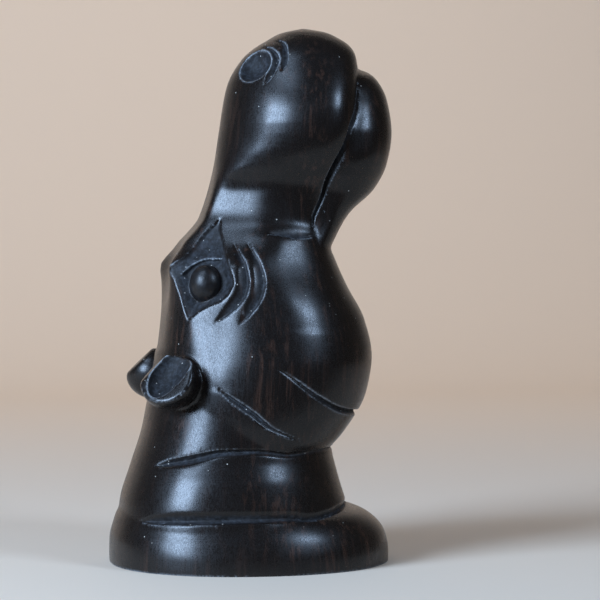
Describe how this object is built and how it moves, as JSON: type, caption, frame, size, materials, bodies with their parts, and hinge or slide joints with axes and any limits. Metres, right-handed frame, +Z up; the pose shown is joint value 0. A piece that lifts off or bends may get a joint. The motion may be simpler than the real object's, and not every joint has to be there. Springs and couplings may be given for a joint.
{
  "type": "hippo head sculpture",
  "caption": "Dark wooden hippo head with its muzzle raised and mouth shut, carved with eyes, nostrils, ears and neck folds, standing on its own rolled foot.",
  "frame": {"origin": "middle of the carving's box on its flat underside", "axes": "+Z up through the neck, -X the way the forehead faces, +X the throat side, Y across between the eyes"},
  "size_m": [0.0798, 0.073, 0.15],
  "materials": {
    "wood": "polished near-black hardwood, satin"
  },
  "bodies": {
    "root": {"hippo_head": "wood"}
  },
  "joints": []
}
